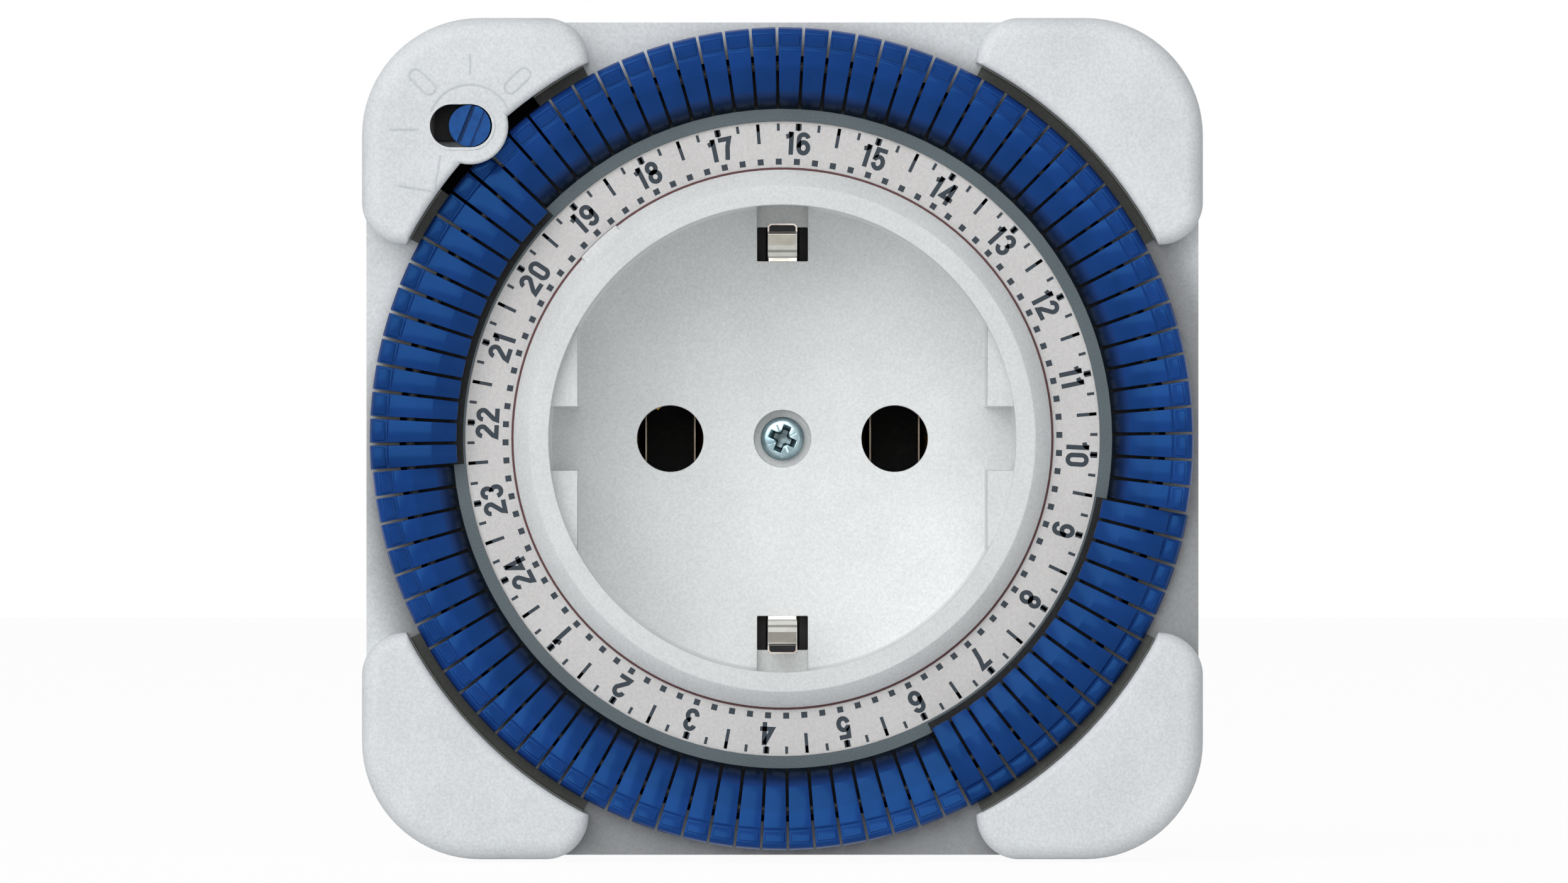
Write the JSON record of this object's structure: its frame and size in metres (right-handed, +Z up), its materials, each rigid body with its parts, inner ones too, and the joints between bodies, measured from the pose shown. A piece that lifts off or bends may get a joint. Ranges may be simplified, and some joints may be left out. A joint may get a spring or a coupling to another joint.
{
  "type": "plug in timer switch",
  "caption": "Square plug-in mechanical timer switch: wall plug behind, earthed socket in front, turning day dial with tipping blue tappets and a sliding override knob.",
  "frame": {"origin": "centre of the face of the plug body that presses into the wall socket, midway between the two plug pins", "axes": "+Y along the plug pins into the wall, -Y towards the viewer of the dial, +Z up, +X to the right as seen from the front"},
  "size_m": [0.07, 0.0726, 0.07],
  "materials": {
    "casing": "fine-grained moulded, light grey",
    "cup": "smooth moulded, light grey",
    "zinc": "bluish zinc plate",
    "nickel": "bright nickel plate",
    "brass": "stamped",
    "dark_moulding": "moulded",
    "steel": "bright",
    "white_nylon": "moulded",
    "copper": "enamelled wire",
    "magnet": "sintered",
    "dial_grey": "moulded",
    "scale": "printed with plain numbers 1 to 24 and marks",
    "blue": "smooth moulded, blue",
    "lead_cover": "insulated"
  },
  "bodies": {
    "housing": {"rear_housing": "casing", "front_cover": "casing", "socket_cup": "cup", "centre_screw": "zinc", "plug_pin_left": "nickel", "plug_pin_right": "nickel", "plug_earth_strap": "nickel", "socket_earth_strap": "nickel", "socket_contact_left": "brass", "socket_contact_right": "brass", "contact_carrier": "dark_moulding", "housing_screws": "zinc", "motor_can": "steel", "motor_bobbin": "white_nylon", "motor_coil": "copper", "motor_plate": "steel", "gear_plate": "brass", "gear_arbors": "steel", "clutch_spring": "steel", "switch_base": "dark_moulding", "contact_leaf": "brass", "live_busbar": "brass", "motor_leads": "lead_cover"},
    "dial": {"dial_ring": "dial_grey", "scale_ring": "scale"},
    "rotor": {"motor_rotor": "magnet"},
    "wheel_1": {"wheel_1": "white_nylon"},
    "wheel_2": {"wheel_2": "white_nylon"},
    "wheel_3": {"wheel_3": "white_nylon"},
    "drive_wheel": {"drive_wheel": "white_nylon"},
    "drive_pinion": {"drive_pinion": "white_nylon"},
    "override": {"override_slider": "blue"},
    "follower": {"switch_follower": "white_nylon"},
    "tappets_00": {"tappets_00": "blue"},
    "tappets_01": {"tappets_01": "blue"},
    "tappets_02": {"tappets_02": "blue"},
    "tappets_03": {"tappets_03": "blue"},
    "tappets_04": {"tappets_04": "blue"},
    "tappets_05": {"tappets_05": "blue"},
    "tappets_06": {"tappets_06": "blue"},
    "tappets_07": {"tappets_07": "blue"},
    "tappets_08": {"tappets_08": "blue"},
    "tappets_09": {"tappets_09": "blue"},
    "tappets_09_30": {"tappets_09_30": "blue"},
    "tappets_10": {"tappets_10": "blue"},
    "tappets_11": {"tappets_11": "blue"},
    "tappets_12": {"tappets_12": "blue"},
    "tappets_13": {"tappets_13": "blue"},
    "tappets_14": {"tappets_14": "blue"},
    "tappets_15": {"tappets_15": "blue"},
    "tappets_16": {"tappets_16": "blue"},
    "tappets_17": {"tappets_17": "blue"},
    "tappets_18": {"tappets_18": "blue"},
    "tappets_19": {"tappets_19": "blue"},
    "tappets_19_15": {"tappets_19_15": "blue"},
    "tappets_20": {"tappets_20": "blue"},
    "tappets_21": {"tappets_21": "blue"},
    "tappets_22": {"tappets_22": "blue"},
    "tappets_22_30": {"tappets_22_30": "blue"},
    "tappets_23": {"tappets_23": "blue"}
  },
  "joints": [
    {"name": "dial_spin", "type": "hinge", "parent": "housing", "child": "dial", "pos_m": [0, -0.0473, 0], "axis": [0, -1, 0], "continuous": true},
    {"name": "pinion_spin", "type": "hinge", "parent": "housing", "child": "drive_pinion", "pos_m": [0.02333, -0.043, -0.02333], "axis": [0, -1, 0], "continuous": true},
    {"name": "rotor_spin", "type": "hinge", "parent": "housing", "child": "rotor", "pos_m": [0.02333, -0.025, -0.02333], "axis": [0, -1, 0], "continuous": true},
    {"name": "wheel_1_spin", "type": "hinge", "parent": "housing", "child": "wheel_1", "pos_m": [0.0262, -0.033, -0.01641], "axis": [0, -1, 0], "continuous": true},
    {"name": "wheel_2_spin", "type": "hinge", "parent": "housing", "child": "wheel_2", "pos_m": [0.02333, -0.035, -0.02333], "axis": [0, -1, 0], "continuous": true},
    {"name": "wheel_3_spin", "type": "hinge", "parent": "housing", "child": "wheel_3", "pos_m": [0.0262, -0.037, -0.01641], "axis": [0, -1, 0], "continuous": true},
    {"name": "drive_wheel_spin", "type": "hinge", "parent": "housing", "child": "drive_wheel", "pos_m": [0.02333, -0.0395, -0.02333], "axis": [0, -1, 0], "continuous": true},
    {"name": "override_slide", "type": "slide", "parent": "housing", "child": "override", "axis": [-1, 0, 0], "range_m": [0, 0.0016]},
    {"name": "follower_slide", "type": "slide", "parent": "housing", "child": "follower", "axis": [0, 1, 0], "range_m": [0, 0.0012]},
    {"name": "tappets_00_flip", "type": "hinge", "parent": "dial", "child": "tappets_00", "pos_m": [-0.02554, -0.0503, -0.01757], "axis": [-0.5667, 0, 0.8239], "range_deg": [-24, 0]},
    {"name": "tappets_01_flip", "type": "hinge", "parent": "dial", "child": "tappets_01", "pos_m": [-0.02012, -0.0503, -0.02358], "axis": [-0.7606, 0, 0.6492], "range_deg": [-24, 0]},
    {"name": "tappets_02_flip", "type": "hinge", "parent": "dial", "child": "tappets_02", "pos_m": [-0.01334, -0.0503, -0.02798], "axis": [-0.9027, 0, 0.4302], "range_deg": [-24, 0]},
    {"name": "tappets_03_flip", "type": "hinge", "parent": "dial", "child": "tappets_03", "pos_m": [-0.00564, -0.0503, -0.03048], "axis": [-0.9833, 0, 0.1819], "range_deg": [-24, 0]},
    {"name": "tappets_04_flip", "type": "hinge", "parent": "dial", "child": "tappets_04", "pos_m": [0.00244, -0.0503, -0.0309], "axis": [-0.9969, 0, -0.0788], "range_deg": [-24, 0]},
    {"name": "tappets_05_flip", "type": "hinge", "parent": "dial", "child": "tappets_05", "pos_m": [0.01036, -0.0503, -0.02922], "axis": [-0.9425, 0, -0.3341], "range_deg": [-24, 0]},
    {"name": "tappets_06_flip", "type": "hinge", "parent": "dial", "child": "tappets_06", "pos_m": [0.01757, -0.0503, -0.02554], "axis": [-0.8239, 0, -0.5667], "range_deg": [0, 24]},
    {"name": "tappets_07_flip", "type": "hinge", "parent": "dial", "child": "tappets_07", "pos_m": [0.02358, -0.0503, -0.02012], "axis": [-0.6492, 0, -0.7606], "range_deg": [0, 24]},
    {"name": "tappets_08_flip", "type": "hinge", "parent": "dial", "child": "tappets_08", "pos_m": [0.02798, -0.0503, -0.01334], "axis": [-0.4302, 0, -0.9027], "range_deg": [0, 24]},
    {"name": "tappets_09_flip", "type": "hinge", "parent": "dial", "child": "tappets_09", "pos_m": [0.03005, -0.0503, -0.00762], "axis": [-0.2458, 0, -0.9693], "range_deg": [0, 24]},
    {"name": "tappets_09_30_flip", "type": "hinge", "parent": "dial", "child": "tappets_09_30", "pos_m": [0.03079, -0.0503, -0.00363], "axis": [-0.1172, 0, -0.9931], "range_deg": [-24, 0]},
    {"name": "tappets_10_flip", "type": "hinge", "parent": "dial", "child": "tappets_10", "pos_m": [0.0309, -0.0503, 0.00244], "axis": [0.0788, 0, -0.9969], "range_deg": [-24, 0]},
    {"name": "tappets_11_flip", "type": "hinge", "parent": "dial", "child": "tappets_11", "pos_m": [0.02922, -0.0503, 0.01036], "axis": [0.3341, 0, -0.9425], "range_deg": [-24, 0]},
    {"name": "tappets_12_flip", "type": "hinge", "parent": "dial", "child": "tappets_12", "pos_m": [0.02554, -0.0503, 0.01757], "axis": [0.5667, 0, -0.8239], "range_deg": [-24, 0]},
    {"name": "tappets_13_flip", "type": "hinge", "parent": "dial", "child": "tappets_13", "pos_m": [0.02012, -0.0503, 0.02358], "axis": [0.7606, 0, -0.6492], "range_deg": [-24, 0]},
    {"name": "tappets_14_flip", "type": "hinge", "parent": "dial", "child": "tappets_14", "pos_m": [0.01334, -0.0503, 0.02798], "axis": [0.9027, 0, -0.4302], "range_deg": [-24, 0]},
    {"name": "tappets_15_flip", "type": "hinge", "parent": "dial", "child": "tappets_15", "pos_m": [0.00564, -0.0503, 0.03048], "axis": [0.9833, 0, -0.1819], "range_deg": [-24, 0]},
    {"name": "tappets_16_flip", "type": "hinge", "parent": "dial", "child": "tappets_16", "pos_m": [-0.00244, -0.0503, 0.0309], "axis": [0.9969, 0, 0.0788], "range_deg": [-24, 0]},
    {"name": "tappets_17_flip", "type": "hinge", "parent": "dial", "child": "tappets_17", "pos_m": [-0.01036, -0.0503, 0.02922], "axis": [0.9425, 0, 0.3341], "range_deg": [-24, 0]},
    {"name": "tappets_18_flip", "type": "hinge", "parent": "dial", "child": "tappets_18", "pos_m": [-0.01757, -0.0503, 0.02554], "axis": [0.8239, 0, 0.5667], "range_deg": [-24, 0]},
    {"name": "tappets_19_flip", "type": "hinge", "parent": "dial", "child": "tappets_19", "pos_m": [-0.02149, -0.0503, 0.02234], "axis": [0.7206, 0, 0.6933], "range_deg": [-24, 0]},
    {"name": "tappets_19_15_flip", "type": "hinge", "parent": "dial", "child": "tappets_19_15", "pos_m": [-0.02423, -0.0503, 0.01934], "axis": [0.6239, 0, 0.7815], "range_deg": [0, 24]},
    {"name": "tappets_20_flip", "type": "hinge", "parent": "dial", "child": "tappets_20", "pos_m": [-0.02798, -0.0503, 0.01334], "axis": [0.4302, 0, 0.9027], "range_deg": [0, 24]},
    {"name": "tappets_21_flip", "type": "hinge", "parent": "dial", "child": "tappets_21", "pos_m": [-0.03048, -0.0503, 0.00564], "axis": [0.1819, 0, 0.9833], "range_deg": [0, 24]},
    {"name": "tappets_22_flip", "type": "hinge", "parent": "dial", "child": "tappets_22", "pos_m": [-0.031, -0.0503, -0.00042], "axis": [-0.0134, 0, 0.9999], "range_deg": [0, 24]},
    {"name": "tappets_22_30_flip", "type": "hinge", "parent": "dial", "child": "tappets_22_30", "pos_m": [-0.03068, -0.0503, -0.00446], "axis": [-0.1438, 0, 0.9896], "range_deg": [-24, 0]},
    {"name": "tappets_23_flip", "type": "hinge", "parent": "dial", "child": "tappets_23", "pos_m": [-0.02922, -0.0503, -0.01036], "axis": [-0.3341, 0, 0.9425], "range_deg": [-24, 0]}
  ],
  "couplings": [
    {"joint": "pinion_spin", "follows": "dial_spin", "ratio": -10},
    {"joint": "wheel_1_spin", "follows": "rotor_spin", "ratio": -0.25},
    {"joint": "wheel_2_spin", "follows": "rotor_spin", "ratio": 0.0625},
    {"joint": "wheel_3_spin", "follows": "rotor_spin", "ratio": -0.015625},
    {"joint": "drive_wheel_spin", "follows": "rotor_spin", "ratio": 0.0039062},
    {"joint": "follower_slide", "follows": "override_slide", "ratio": 0.75}
  ]
}
